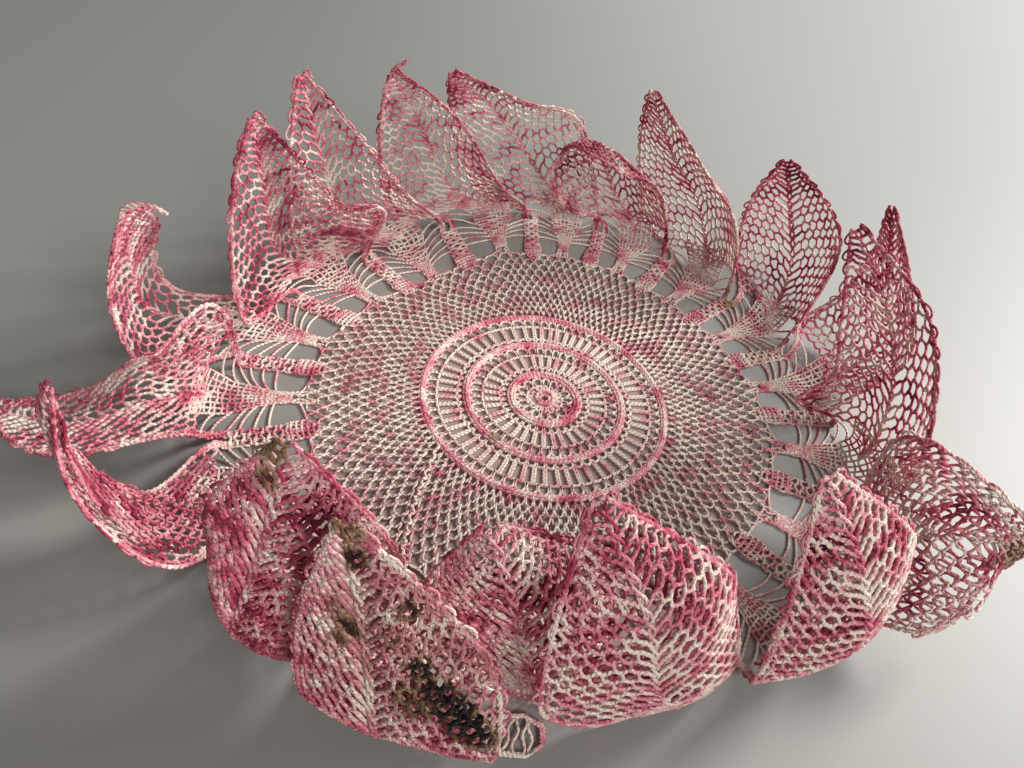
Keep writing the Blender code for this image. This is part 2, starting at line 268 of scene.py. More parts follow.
class Threads:
    """Thread paths on a surface, made into closed round tubes in one mesh."""

    def __init__(self, surface, sides=6):
        self.surface, self.sides, self.laid, self.free = surface, sides, [], []

    def strand(self, path, *values):
        return path, *(np.broadcast_to(np.asarray(value, float), (len(path),)) for value in values)

    def add(self, path, radius, dye, lift=None, side=0.0):
        """path: places on the surface. lift: height of its middle over the surface. side: shift along it."""
        self.laid.append(self.strand(path, radius, dye, radius if lift is None else lift, side))

    def add_free(self, points, radius, dye):
        """A thread that leaves the surface: points in millimetres."""
        self.free.append(self.strand(np.asarray(points, float), radius, dye, 0.0, 0.0))

    def mesh(self, name):
        # The middle line of each thread, lifted off the surface and kept above the table.
        sizes = np.array([len(strand[0]) for strand in self.laid + self.free])
        path, radius, dye, lift, shift = (np.concatenate(parts) for parts in zip(*self.laid))
        points, normals = self.surface(path[:, 0], path[:, 1])
        if self.free:
            loose, *more = (np.concatenate(parts) for parts in zip(*self.free))
            points = np.concatenate([points, loose])
            normals = np.concatenate([normals, np.broadcast_to(FREE_UP, loose.shape)])
            radius, dye, lift, shift = (np.concatenate(pair) for pair in zip((radius, dye, lift, shift), more))
        last = np.cumsum(sizes) - 1
        first = last - sizes + 1
        ahead = np.minimum(np.arange(len(points)) + 1, len(points) - 1)
        ahead[last] = last
        behind = np.maximum(np.arange(len(points)) - 1, 0)
        behind[first] = first
        along = unit(points[ahead] - points[behind])
        aside = unit(np.cross(normals, along))
        points = points + normals * lift[:, None] + aside * shift[:, None]
        points[:, 2] = np.maximum(points[:, 2], radius * ON_TABLE)

        # Rings of corners round it, joined by four-sided faces and closed at both ends.
        along = unit(points[ahead] - points[behind])
        aside = unit(np.cross(normals, along))
        above = np.cross(along, aside)
        turn = np.arange(self.sides) * 2.0 * math.pi / self.sides
        rings = points[:, None] + radius[:, None, None] * (aside[:, None] * np.cos(turn)[None, :, None]
                                                           + above[:, None] * np.sin(turn)[None, :, None])
        here = np.setdiff1d(np.arange(len(points)), last)
        k = np.arange(self.sides)
        after = (k + 1) % self.sides
        corner = here[:, None] * self.sides
        quads = np.stack([corner + k, corner + after, corner + after + self.sides, corner + k + self.sides], 2)
        caps = np.concatenate([first[:, None] * self.sides + k[::-1], last[:, None] * self.sides + k])
        corners = np.concatenate([quads.ravel(), caps.ravel()])
        starts = np.concatenate([np.arange(quads.size // 4) * 4,
                                 quads.size + np.arange(len(caps)) * self.sides])
        data = bpy.data.meshes.new(name)
        data.vertices.add(rings.size // 3)
        data.loops.add(len(corners))
        data.polygons.add(len(starts))
        data.vertices.foreach_set("co", (rings * MM).astype(np.float32).ravel())
        data.polygons.foreach_set("loop_start", starts.astype(np.int32))
        data.polygons.foreach_set("vertices", corners.astype(np.int32))
        data.polygons.foreach_set("use_smooth", np.ones(len(starts), bool))
        data.update(calc_edges=True)

        # Places along the thread in millimetres and round it from 0 to 1, for the braid.
        run = np.cumsum(np.linalg.norm(points - points[behind], axis=1))
        u = np.stack([run[here], run[here], run[here + 1], run[here + 1]], 1)[:, None, :] + 0.0 * quads
        v = np.stack([k, k + 1, k + 1, k], 1)[None] / self.sides + 0.0 * quads
        cap_uv = np.stack([np.repeat(np.concatenate([run[first], run[last]]), self.sides),
                           np.tile(k / self.sides, 2 * len(first))], 1)
        uv = np.concatenate([np.stack([u.ravel(), v.ravel()], 1), cap_uv])
        data.uv_layers.new(name="thread").uv.foreach_set("vector", uv.astype(np.float32).ravel())

        # The dye of each point, and how much of a stain lies on it.
        soil = np.zeros(len(points))
        for stain in STAINS:
            away = np.linalg.norm(points - (stain.x, stain.y, stain.z), axis=1) / stain.radius
            soil = np.maximum(soil, stain.depth * np.clip(1.6 * (1.0 - away), 0.0, 1.0))
        for key, values in (("dye", dye), ("soil", soil)):
            kept = data.attributes.new(key, "FLOAT", "POINT")
            kept.data.foreach_set("value", np.repeat(values, self.sides).astype(np.float32))
        return data

    def piece(self, name, flat, area, held, rests_on):
        made = bpy.data.objects.new(name, self.mesh(name))
        bpy.context.scene.collection.objects.link(made)
        made.data.materials.append(cotton_thread)
        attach(made, "root")
        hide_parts("doily")


# Variegated cotton: undyed cream, then pale pink to deep rose and back along the thread. Stains lie
# where something dark was spilt on it. Bump shows the links of the chain stitches and loose fibre.
# Painted shade darkens the colour in the gaps between the links.
DYE_STOPS = ((0.0, (0.90, 0.82, 0.71)), (0.32, (0.87, 0.72, 0.63)), (0.46, (0.82, 0.45, 0.46)),
             (0.62, (0.70, 0.22, 0.28)), (0.82, (0.48, 0.06, 0.12)), (1.0, (0.24, 0.018, 0.05)))
SOIL_STOPS = ((0.0, (0.56, 0.41, 0.34)), (0.4, (0.30, 0.16, 0.095)), (0.62, (0.05, 0.018, 0.010)),
              (0.9, (0.004, 0.002, 0.0015)))
Stain = namedtuple("Stain", "x y z radius depth")
STAINS = (
    Stain(-12.4, -22.7, 1.0, 3.5, 0.35), Stain(-10.3, -122.6, 44.2, 4.5, 0.80),
    Stain(-6.3, -123.7, 38.3, 5.5, 1.0), Stain(-2.5, -124.5, 33.7, 6.5, 1.0),
    Stain(1.0, -125.2, 29.0, 6.5, 1.0), Stain(4.0, -125.4, 26.0, 5.5, 0.9),
    Stain(-10.0, -123.0, 33.0, 8.0, 0.5), Stain(-25.8, -120.3, 49.0, 4.0, 0.75),
    Stain(-27.6, -120.7, 44.0, 3.0, 0.7), Stain(-14.6, -119.0, 58.8, 3.5, 0.7),
    Stain(-28.0, -114.9, 73.6, 5.0, 0.42), Stain(-25.6, -116.7, 67.5, 4.0, 0.7),
    Stain(-46.3, -103.9, 75.9, 5.0, 0.48), Stain(-46.8, -106.3, 69.5, 3.5, 0.55),
    Stain(130.0, -43.0, 34.0, 8.0, 0.4), Stain(-40.0, 88.0, 18.0, 8.0, 0.28),
    Stain(66.0, 80.0, 4.0, 9.0, 0.3), Stain(-16.0, -121.0, 45.0, 36.0, 0.15),
)
LINK_LENGTH = 1.5
PAINTED_SHADE_BETWEEN_LINKS = (0.62, 0.50, 0.48, 1.0)
BLOTCH_SCALE, MOTTLE_SCALE, FIBRE_SCALE = 150.0, 600.0, 2600.0
cotton_thread = bpy.data.materials.new("cotton_thread")
cotton_thread.use_nodes = True
tree = cotton_thread.node_tree
shader = tree.nodes["Principled BSDF"]
maker = Value(tree, None)
uv = maker.node("ShaderNodeUVMap", {"uv_map": "thread"})
split = tree.nodes.new("ShaderNodeSeparateXYZ")
tree.links.new(uv.socket, split.inputs[0])
run, around = Value(tree, split.outputs[0]), Value(tree, split.outputs[1])
dye = maker.node("ShaderNodeAttribute", {"attribute_name": "dye"}, out=2)
soil = maker.node("ShaderNodeAttribute", {"attribute_name": "soil"}, out=2)
place = maker.node("ShaderNodeTexCoord", out=3)
blotch, mottle, fibre = (
    maker.node("ShaderNodeTexNoise", {"noise_dimensions": "3D"}, Vector=place, Scale=scale, Detail=detail)
    for scale, detail in ((BLOTCH_SCALE, 2.0), (MOTTLE_SCALE, 1.0), (FIBRE_SCALE, 2.0)))
edge = (around * (2.0 * math.pi)).maths("COSINE").maths("ABSOLUTE")
link = ((run / LINK_LENGTH + edge * 0.45) * (2.0 * math.pi)).maths("COSINE") * 0.5 + 0.5
braid = link * (edge.between(0.0, 0.35) * 0.5 + 0.5)
tone = dye + (blotch - 0.5) * 1.15 + (mottle - 0.5) * 0.3 - 0.02
colour = maker.node("ShaderNodeValToRGB", {"stops": DYE_STOPS}, s0=tone)
soil = soil * (blotch * 1.2 + 0.4)
soiled = maker.node("ShaderNodeValToRGB", {"stops": SOIL_STOPS}, s0=soil)
colour = soil.between(0.04, 0.30).mixed(colour, soiled)
# Painted shade: the colour is darkened between the chain links, where the braid is low.
shaded = maker.node("ShaderNodeMix", {"data_type": "RGBA", "blend_type": "MULTIPLY"}, out=2,
                    s0=1.0, s6=colour, s7=PAINTED_SHADE_BETWEEN_LINKS)
colour = ((1.0 - braid).between(0.35, 1.0) * 0.45).mixed(colour, shaded)
tree.links.new(colour.socket, shader.inputs["Base Color"])
shader.inputs["Roughness"].default_value = 0.85
shader.inputs["Specular IOR Level"].default_value = 0.25
shader.inputs["Sheen Weight"].default_value = 0.06
bump = maker.node("ShaderNodeBump", Height=braid * 0.75 + fibre * 0.25, Strength=0.8, Distance=0.0005)
tree.links.new(bump.socket, shader.inputs["Normal"])

MedallionRound = namedtuple("MedallionRound", "kind inner outer count")
MEDALLION_ROUNDS = (
    MedallionRound("cord", 1.7, 2.9, 2),
    MedallionRound("posts", 3.0, 6.2, 16),
    MedallionRound("loops", 6.2, 9.9, 16),
    MedallionRound("cord", 10.6, 12.6, 3),
    MedallionRound("loops", 12.8, 15.6, 36),
    MedallionRound("posts", 15.5, 21.6, 36),
    MedallionRound("loops", 21.6, 25.8, 44),
    MedallionRound("cord", 26.3, 27.9, 3),
    MedallionRound("loops", 28.0, 30.4, 60),
    MedallionRound("posts", 30.3, 37.2, 60),
    MedallionRound("loops", 37.2, 41.0, 66),
    MedallionRound("cord", 41.4, 42.8, 3),
)
THREAD = 0.52
CORD = 0.62
CORD_WEAVE = 2.6
POST_PAIR = 0.36
medallion = Threads(flat_surface)
uneven = np.random.default_rng(7)
for number, part in enumerate(MEDALLION_ROUNDS):
    scale = (part.inner + part.outer) / 2.0 * 2.0 * math.pi / REPEATS
    if part.kind == "cord":
        for strand, radius in enumerate(np.linspace(part.inner, part.outer, part.count)):
            position = np.linspace(0.0, REPEATS, int(2 * math.pi * radius / 0.8) + 1)
            along = position * radius * 2 * math.pi / REPEATS
            weave = np.sin(along * 2 * math.pi / CORD_WEAVE + strand * 2.4)
            medallion.add(np.stack([radius + 0.16 * weave, position], 1), CORD + 0.05 * weave,
                          0.52 + 0.2 * flecks(along, number + strand * 0.2), lift=0.85 + 0.3 * (strand == 1))
    if part.kind == "posts":
        for n in range(part.count):
            position = (n + uneven.uniform(-0.1, 0.1)) / part.count * REPEATS
            for side in (-POST_PAIR, POST_PAIR):
                medallion.add(stitch((part.inner, position), (part.outer, position), scale=scale), THREAD * 0.9,
                              0.32 + 0.2 * flecks(position * scale, number), side=side)
        position = np.linspace(0.0, REPEATS, int(2 * math.pi * part.outer / 0.9) + 1)
        medallion.add(np.stack([0.0 * position + part.outer, position], 1), THREAD,
                      0.36 + 0.2 * flecks(position * part.outer * 2 * math.pi / REPEATS, number + 0.5))
    if part.kind == "loops":
        steps = max(6, int((scale * REPEATS / part.count + part.outer - part.inner) / 0.9))
        t = np.linspace(0.0, 1.0, steps)
        height = part.inner + (part.outer - part.inner) * np.sin(t * math.pi) ** 0.7
        for n in range(part.count):
            position = (n + (-np.cos(t * math.pi) * 0.5 + 0.5)) / part.count * REPEATS
            medallion.add(np.stack([height, position], 1), THREAD, 0.34 + 0.22 * flecks(position * scale, number))
medallion.piece("medallion", flat=(0.087, 0.087), area=math.pi * 0.0435 ** 2, held="laid", rests_on=["table"])


# Net. The plain ground of chain loops round the medallion: each loop hangs in the top of the one
# below, so the holes lie like bricks and widen towards the rim. One seam of thread runs out across it.
NET_LOOPS = 108
NET_RADII = np.concatenate([[43.2], 43.2 + np.cumsum(np.linspace(2.55, 3.45, 12))])
NET_THREAD = 0.34
NET_KNOT = 0.20
LOOP_POINTS = 9
SEAM = ((-29.0, -32.0), (-29.4, -45.0), (-29.7, -54.3), (-28.8, -65.0), (-27.8, -75.0))
SEAM_THREAD = 0.55
net = Threads(flat_surface, sides=5)
wander = uneven.uniform(-1.0, 1.0, (len(NET_RADII), NET_LOOPS, 2)) * (0.28, 0.020)
t = np.linspace(0.0, 1.0, LOOP_POINTS)
swing = (0.5 - 0.5 * np.cos(t * math.pi)) * 0.6 + t * 0.4
for row, low in enumerate(NET_RADII[:-1]):
    runs = []
    for n in range(NET_LOOPS):
        m = (n + 1) % NET_LOOPS
        foot_a = np.array([low, (n + row / 2.0) * REPEATS / NET_LOOPS]) + wander[row, n]
        foot_b = np.array([low, (n + 1 + row / 2.0) * REPEATS / NET_LOOPS]) + wander[row, m]
        top = NET_RADII[row + 1] + wander[row + 1, n, 0] + 0.3
        base = foot_a[0] + (foot_b[0] - foot_a[0]) * t
        lean = wander[row + 1, n, 1] * np.sin(t * math.pi)
        loop = np.stack([base + (top - base) * np.minimum(1.25 * np.sin(t * math.pi), 1.0),
                         foot_a[1] + (foot_b[1] - foot_a[1]) * swing + lean], 1)
        runs.append(loop[1:] if runs else loop)
    path = np.concatenate(runs)
    path[:, 1] = path[:, 1] - REPEATS * (path[:, 1] > REPEATS + 2.5)
    along = path[:, 1] * low * 2 * math.pi / REPEATS
    knot = np.abs(np.cos(np.arange(len(path)) * math.pi / (LOOP_POINTS - 1.0))) ** 6
    net.add(path, NET_THREAD + NET_KNOT * knot, 0.34 + 0.22 * flecks(along, row * 0.5, 3.0),
            lift=0.75 + 0.3 * knot + 0.25 * np.sin(along / 11.0 + row))
bend = np.linspace(0.0, 1.0, 60)
seam = [np.interp(bend, np.linspace(0.0, 1.0, len(SEAM)), [point[k] for point in SEAM]) for k in (0, 1)]
net.add_free(np.stack([seam[0] + 0.5 * np.sin(bend * 75.0), seam[1], 1.5 + 0.3 * np.sin(bend * 90.0)], 1),
             SEAM_THREAD, 0.30)
net.piece("net", flat=(0.164, 0.164), area=math.pi * (0.082 ** 2 - 0.0432 ** 2), held="laid",
          rests_on=["table"])


# Rim and columns. Eighteen times round, dense pointed diamonds of close stitches stand between large
# holes that are crossed by arched chains, and narrow into the columns between the leaves. They are
# worked from the net's last round. Widths here are in degrees, from even radius.
COLUMN_WIDTHS = ((75.0, 76.5, 79.0, 83.0, 86.0, 92.0, 104.0, 114.0, 126.0),
                 (0.3, 1.0, 2.4, 2.6, 2.0, 1.9, 1.6, 1.4, 1.0))
DIAMOND_START, DIAMOND_TOP, DIAMOND_ROW = 75.8, 85.0, 1.7
DIAMOND_POST = 1.15
COLUMN_END = 104.0
COLUMN_ROW = 1.9
RIM_THREAD = 0.44
DEGREES_A_REPEAT = 20.0


def column_half(radius):
    """Half the width of a diamond or column, as a part of one repeat."""
    return np.interp(radius, *COLUMN_WIDTHS) / DEGREES_A_REPEAT


rim = Threads(flat_surface, sides=5)
for index in range(REPEATS):
    centre = index + 0.5
    for row, radius in enumerate(np.arange(DIAMOND_START, DIAMOND_TOP, DIAMOND_ROW)):
        half, upper = float(column_half(radius)), float(column_half(radius + DIAMOND_ROW))
        scale = radius * math.radians(DEGREES_A_REPEAT)
        count = max(2, int(round(2 * half * scale / DIAMOND_POST)))
        shade = 0.50 + 0.16 * flecks(centre * 34.0 + row * 3.0, row * 0.2, index * 1.9)
        for post in np.linspace(-1.0, 1.0, count):
            path = stitch((radius - 0.2, centre + post * half + uneven.uniform(-0.2, 0.2) / scale),
                          (radius + 1.9, centre + post * upper + uneven.uniform(-0.5, 0.5) / scale), scale=scale)
            rim.add(path, RIM_THREAD, shade + uneven.uniform(-0.12, 0.12), lift=RIM_THREAD + 0.4)
        rim.add(stitch((radius, centre - half), (radius, centre + half), rise=0.4, scale=scale), RIM_THREAD, shade,
                lift=RIM_THREAD + 0.6)
    radius = np.arange(DIAMOND_TOP - 0.5, COLUMN_END + 0.6, 0.8)
    for strand in (-1.0, -0.4, 0.4, 1.0):
        wave = 0.10 * np.sin(radius * 2 * math.pi / 3.4 + strand * 3.3)
        rim.add(np.stack([radius, centre + column_half(radius) * (strand + wave)], 1), RIM_THREAD,
                0.42 + 0.2 * flecks(radius, strand, index * 1.9))
    t = np.linspace(-1.0, 1.0, 9)
    for row, radius in enumerate(np.arange(DIAMOND_TOP + 0.6, COLUMN_END, COLUMN_ROW)):
        path = np.stack([radius + 0.45 * np.cos(t * 4.7 + row * math.pi) + uneven.uniform(-0.2, 0.2),
                         centre + float(column_half(radius)) * t], 1)
        rim.add(path, RIM_THREAD + 0.06, 0.42 + 0.2 * flecks(radius * 2, 1.0, index * 1.9),
                lift=RIM_THREAD + 0.35)
# Its flat size is that of the eighteen strips side by side, each 9 mm wide and 29 mm long.
rim.piece("rim_columns", flat=(18 * 0.009, 0.029), area=18 * 0.009 * 0.029, held="laid", rests_on=["table"])


# Leaves. Eighteen pointed leaves, each a net of rows that leave the midrib slanting up like veins and
# run out to a corded margin. A fan of long threads joins each to the net. They stand by themselves.
# Their surfaces are those of the solid. Reaches past the leaf's base are real lengths up its midrib.
LEAF_BASE_RADIUS = 104.0
BASE_SHARE = 0.92
HALF_DEGREES = 10.0 * BASE_SHARE
SECTION_SHARES = (0.0, 0.35, 0.70, 1.0)
TIP_HALF_WIDTH = 1.5
FOOT_PULL = 90.0
LOWEST_POINT = 0.2
LOBE_POWER = 2.5
NORMAL_STEP = 1.2
ALONG_STEPS, ACROSS_STEPS = 60, 12
# By the leaf's azimuth: how dark the dye is in its body, margin and tip, how much its rows are gathered,
# and how much darker, as painted shade, the layer is that is folded behind it, if it has one. Leaves 158,
# 180, 239 and 259 are dyed deeper partly as painted shade, for they face away from the light.
Tint = namedtuple("Tint", "body margin tip gather folded", defaults=(0.95, 0))
LEAF_DYE_AND_SHADE = {
    4: Tint(0.56, 0.68, 0.68), 24: Tint(0.57, 0.66, 0.76), 43: Tint(0.58, 0.67, 0.90),
    61: Tint(0.43, 0.50, 0.68), 79: Tint(0.52, 0.62, 0.68, 0.9), 95: Tint(0.44, 0.54, 0.66),
    112: Tint(0.46, 0.62, 0.60), 137: Tint(0.46, 0.50, 0.66), 158: Tint(0.57, 0.64, 0.74),
    180: Tint(0.52, 0.62, 0.60), 199: Tint(0.50, 0.62, 0.56, 0.9), 219: Tint(0.50, 0.64, 0.56, 0.85, 0.15),
    239: Tint(0.64, 0.71, 0.66, 0.78, 0.2), 259: Tint(0.57, 0.58, 0.54, 0.80, 0.25),
    279: Tint(0.56, 0.68, 0.58, 0.85, 0.2), 299: Tint(0.43, 0.60, 0.66, 1.0, 0.25),
    320: Tint(0.45, 0.58, 0.48, 0.95, 0.25), 342: Tint(0.43, 0.52, 0.42, 0.75, 0.06),
}
LEAF_THREAD = 0.47
KNOT = 0.20
FIRST_ROW = 110.0
PITCH_PLACES = (0.0, 0.4, 0.75, 1.0)
ROW_PITCHES = (4.6, 4.4, 3.7, 2.6)
CELL_PITCHES = (3.7, 3.6, 3.4, 2.8)
WIDEST_HALF = 42.0
BARB_RISE = 7.0
BARB_REACH = 4.0
BARB_TAPER = 20.0
ROW_SWAY = 0.72
FIRST_POST = 3.8
ROW_STEP = 0.9
FOLD_THREAD = 0.46
FOLD_DEPTH = 2.8
FOLD_ROWS = 2.6
FOLD_SHARE = 0.88
CORD_TWIST = 3.4
PICOT_START = 0.40
RIM_CHAIN = 0.42
FAN_THREAD = 0.40
FAN_THREADS = 8
FAN_WIDTHS = ((84.0, 86.0, 89.0, 95.0, 100.0, 106.0, 114.0, 124.0), (0.4, 1.7, 1.6, 2.5, 3.4, 4.2, 4.4, 4.0))
ARCH_REACHES = (76.0, 78.5, 81.5, 84.0, 86.5, 89.5)
ARCHES = ((1.7, 1.5, 0.4, 1.2, 1.0, 0.1), (2.0, 1.9, 1.7, 1.5, 1.2, 0.4))
RIB_TWIST = 9.0
Rung = namedtuple("Rung", "inner_radius top outer_radius")
RUNGS = (Rung(82.5, -1.2, 79.5), Rung(89.4, 0.6, 91.0), Rung(91.8, 0.6, 95.5), Rung(94.6, 0.5, 100.0),
         Rung(97.8, 0.5, 104.0), Rung(102.0, 0.5, 108.5), Rung(107.5, 0.5, 113.0))
TIP_CURLS = {180: ((0, 0, 0), (2, 0.8, 1.6), (5, 1.6, 2.6), (8.5, 2.2, 2.4), (11.5, 2.6, 0.8)),
             112: ((0, 0, 0), (1.5, 0.6, 2.0), (3.5, 1.2, 3.4), (5.0, 1.8, 4.6))}
LOOSE_LOOP_LEAF = 279
LOOSE_LOOP = ((-6.1, -109.9), (-0.4, -112.2), (4.6, -115.4), (10.6, -117.6), (16.6, -116.6), (20.0, -113.2),
              (19.0, -109.0), (14.1, -107.6), (8.1, -109.6), (3.2, -112.6))
LOOSE_LOOP_CHAINS = ((10, 86), (14, 84), (18, 82), (22, 79), (26, 76), (30, 73), (34, 71), (38, 68), (42, 66))


def polar(reach, azimuth, rise):
    angle = np.radians(azimuth)
    return np.stack(np.broadcast_arrays(reach * np.cos(angle), reach * np.sin(angle), rise), -1)


def section_points(centre, along, azimuth, turn, half_width, curls, across):
    """Points of a curled cross section, which keeps its width along the curl."""
    angle, turned = math.radians(azimuth), math.radians(turn)
    along = unit(along)
    side = np.array([-math.sin(angle), math.cos(angle), 0.0])
    side = unit(side - along * (side @ along))
    inward = np.cross(along, side)
    side, inward = (side * math.cos(turned) + inward * math.sin(turned),
                    inward * math.cos(turned) - side * math.sin(turned))
    length = np.abs(across) * half_width
    bend = np.radians(np.where(across < 0, curls[0], curls[1])) / half_width
    bend = np.where(np.abs(bend) < 1e-6, 1e-6, bend)
    offset = np.sign(across) * np.sin(bend * length) / bend
    depth = (1.0 - np.cos(bend * length)) / bend
    return centre + side * offset[:, None] + inward * depth[:, None]


def leaf_points(index, share, across):
    """Points of one leaf: share runs from base (0) to tip (1), across from -1 to 1. A smooth curve runs
    from the flat rim through two curled cross sections to the tip, and each margin may swell out."""
    leaf = LEAVES[index]
    position = index + across * BASE_SHARE / 2.0
    spine = [flat_point(np.array([LEAF_BASE_RADIUS]), np.array([float(index)]))[0]]
    for reach, swing, rise in (leaf.low, leaf.high, leaf.tip):
        spine.append(polar(reach, leaf.azimuth + swing, rise))
    start, low, high, end = SECTION_SHARES
    low_along = (spine[2] - spine[0]) / (high - start)
    high_along = (spine[3] - spine[1]) / (end - low)
    tip_along = (spine[3] - spine[2]) / (end - high) * 1.5 - high_along * 0.5
    low_half, high_half = (np.where(across < 0, *leaf.halves[n:n + 2]).astype(float) for n in (0, 2))
    level = 0.0 * across
    rows = np.stack([
        flat_point(level + LEAF_BASE_RADIUS, position),
        section_points(spine[1], low_along, leaf.azimuth + leaf.low[1], leaf.turns[0],
                       low_half, leaf.low_curls, across),
        section_points(spine[2], high_along, leaf.azimuth + leaf.high[1], leaf.turns[1],
                       high_half, leaf.high_curls, across),
        section_points(spine[3], tip_along, leaf.azimuth + leaf.tip[1], leaf.turns[2],
                       level + TIP_HALF_WIDTH, (0.0, 0.0), across),
    ])
    small, middle, large = leaf.feet
    slope = np.radians(middle + (np.where(across < 0, small, large) - middle) * across * across)
    pulls = [polar(np.cos(slope), np.interp(position, places, azimuths), np.sin(slope)) * FOOT_PULL,
             (rows[2] - rows[0]) / (high - start), (rows[3] - rows[1]) / (end - low)]
    pulls.append((rows[3] - rows[2]) / (end - high) * 1.5 - pulls[2] * 0.5)
    pulls = np.stack(pulls)
    shares = np.array(SECTION_SHARES)
    part = np.clip(np.searchsorted(shares, share, side="right") - 1, 0, 2)
    span = shares[part + 1] - shares[part]
    t = ((share - shares[part]) / span)[:, None]
    span = span[:, None]
    n = np.arange(len(share))
    points = (rows[part, n] * (2 * t ** 3 - 3 * t ** 2 + 1) + rows[part + 1, n] * (3 * t ** 2 - 2 * t ** 3)
              + pulls[part, n] * span * (t ** 3 - 2 * t ** 2 + t)
              + pulls[part + 1, n] * span * (t ** 3 - t ** 2))
    lobe = np.where((across < 0)[:, None], leaf.small_lobe, leaf.large_lobe).astype(float)
    swell = np.sin(math.pi * np.minimum(share / lobe[:, 3], 1.0)) ** 2 * np.abs(across) ** LOBE_POWER
    outward = unit(points * (1.0, 1.0, 0.0))
    sideways = np.stack([-outward[:, 1], outward[:, 0], level], 1) * np.sign(across)[:, None]
    shift = sideways * lobe[:, :1] - outward * lobe[:, 1:2] + lobe[:, 2:3] * (0.0, 0.0, 1.0)
    points += shift * swell[:, None]
    points[:, 2] = np.maximum(points[:, 2], LOWEST_POINT * (share > 0))
    return points


def panel_surface(index):
    """The rim and leaf of one repeat as one surface, and the leaf's length. Reach is the even radius up to
    the leaf's base; past it, it goes on in real lengths along the midrib."""
    counts = ACROSS_STEPS + 1, ALONG_STEPS + 1
    shares, strips = np.linspace(0.0, 1.0, counts[1]), np.linspace(-1.0, 1.0, counts[0])
    grid = leaf_points(index, np.tile(shares, counts[0]), np.repeat(strips, counts[1])).reshape(*counts, 3)
    lengths = np.cumsum(np.linalg.norm(np.diff(grid, axis=1, prepend=grid[:, :1]), axis=2), axis=1)
    even = np.stack([np.interp(shares, strip / strip[-1], shares) for strip in lengths])
    leaf_length = lengths[ACROSS_STEPS // 2, -1]

    def points(reach, across):
        flat = flat_point(np.minimum(reach, LEAF_BASE_RADIUS), index + across * BASE_SHARE / 2.0)
        along = np.clip((reach - LEAF_BASE_RADIUS) / leaf_length, 0.0, 0.9999) * ALONG_STEPS
        strip = (np.clip(across, -1.0, 0.9999) + 1.0) * (ACROSS_STEPS // 2)
        i, j = strip.astype(int), along.astype(int)
        low = even[i, j] + (even[i, j + 1] - even[i, j]) * (along - j)
        high = even[i + 1, j] + (even[i + 1, j + 1] - even[i + 1, j]) * (along - j)
        share = low + (high - low) * (strip - i)
        return np.where((reach > LEAF_BASE_RADIUS)[:, None], leaf_points(index, share, across), flat)

    def surface(reach, across):
        step = NORMAL_STEP / 25.0
        outward = points(reach + NORMAL_STEP, across) - points(reach - NORMAL_STEP, across)
        sideways = points(reach, across + step) - points(reach, across - step)
        return points(reach, across), unit(np.cross(outward, sideways))
    return surface, leaf_length


def panel_widths(surface, length, side):
    """How wide one half of a leaf's panel really is, at even reaches."""
    reaches, across = np.linspace(98.0, LEAF_BASE_RADIUS + length, 45), np.linspace(0.0, side, 21)
    points = surface(np.repeat(reaches, len(across)), np.tile(across, len(reaches)))[0]
    steps = np.diff(points.reshape(len(reaches), len(across), 3), axis=1)
    return reaches, np.maximum(np.linalg.norm(steps, axis=2).sum(1), 1.2)


def column_edge(radius):
    """Where the column's edge lies across a leaf's panel, for its even radius."""
    return (10.0 - np.interp(radius, *COLUMN_WIDTHS)) / HALF_DEGREES


